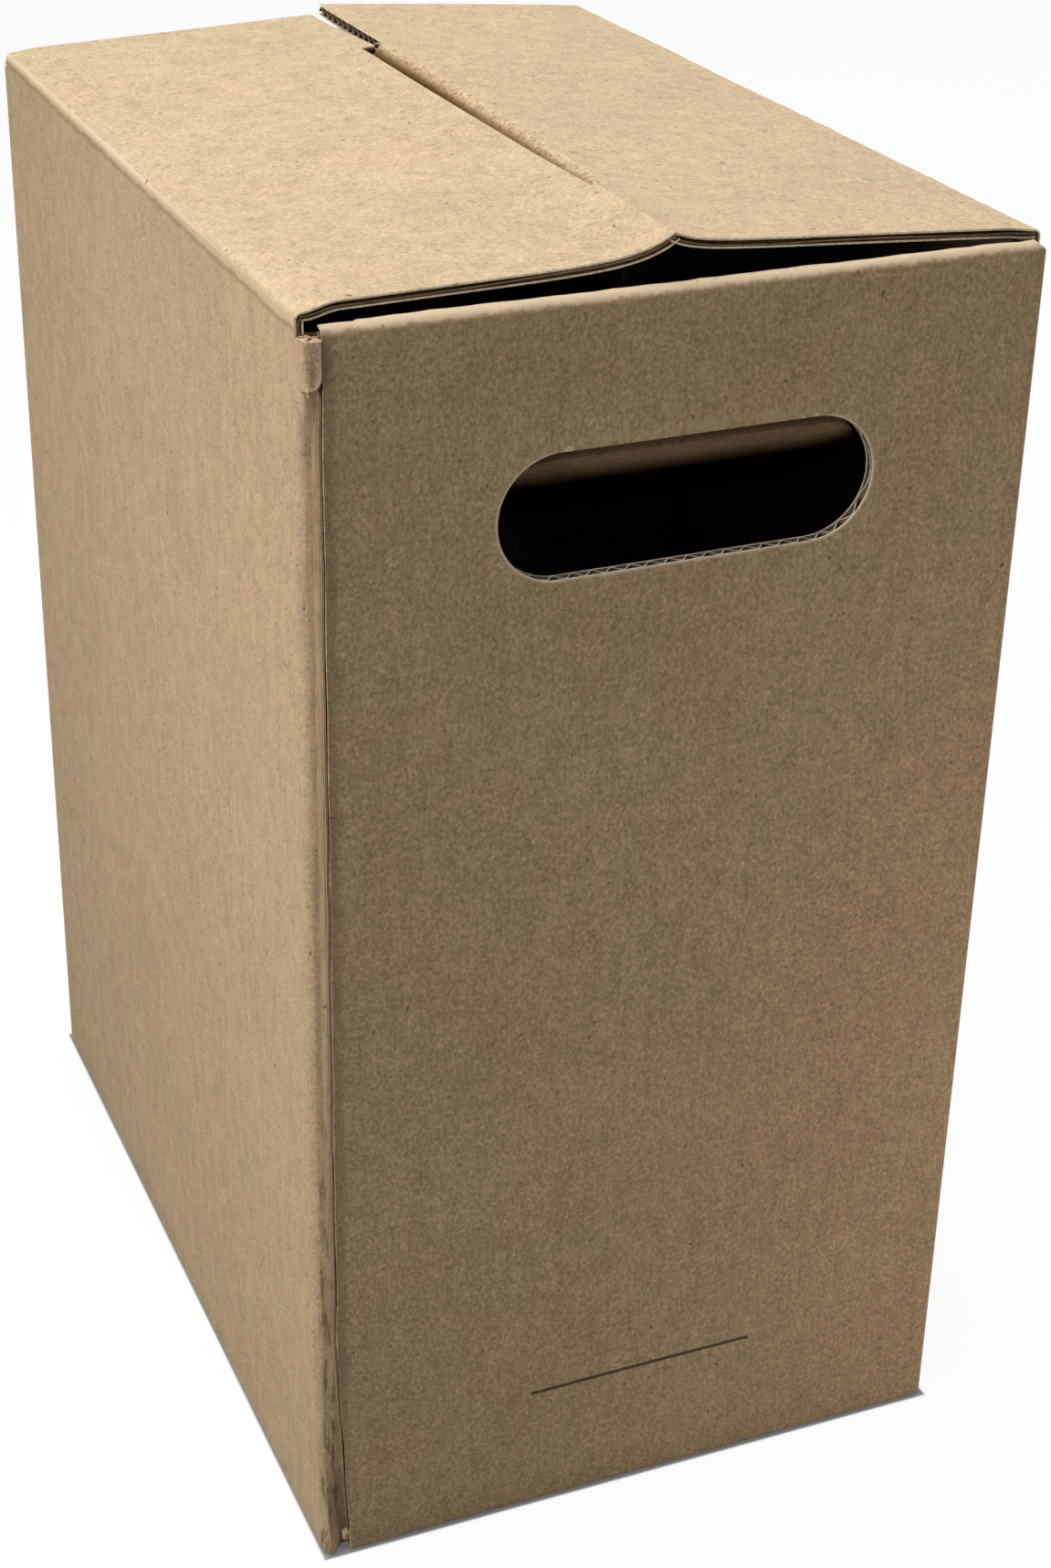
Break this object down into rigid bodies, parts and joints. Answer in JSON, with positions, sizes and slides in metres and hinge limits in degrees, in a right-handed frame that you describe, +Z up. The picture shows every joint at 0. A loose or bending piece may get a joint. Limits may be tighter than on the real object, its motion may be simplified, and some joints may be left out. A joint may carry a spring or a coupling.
{
  "type": "wine shipping box",
  "caption": "Upright corrugated carton for wine bottles, with hand holes in its ends, two long top flaps that meet over a tuck-in tongue, and a slotted divider inside.",
  "frame": {"origin": "middle of the base, on the surface that the box stands on", "axes": "+Z up; the front end with the flap peak faces -Y; +X to the right seen from the front"},
  "size_m": [0.171, 0.254, 0.3294],
  "materials": {
    "kraft_board": "matt brown kraft liner",
    "divider_board": "matt grey-brown board"
  },
  "bodies": {
    "box": {"carton": "kraft_board", "divider_lengthwise": "divider_board", "divider_cross_1": "divider_board", "divider_cross_2": "divider_board"},
    "left_flap": {"top_flap_left": "kraft_board"},
    "right_flap": {"top_flap_right": "kraft_board"}
  },
  "joints": [
    {"name": "left_flap_crease", "type": "hinge", "parent": "box", "child": "left_flap", "pos_m": [-0.0855, 0, 0.3215], "axis": [0, -1, 0], "range_deg": [0, 230]},
    {"name": "right_flap_crease", "type": "hinge", "parent": "box", "child": "right_flap", "pos_m": [0.0855, 0, 0.3215], "axis": [0, 1, 0], "range_deg": [0, 230]}
  ]
}
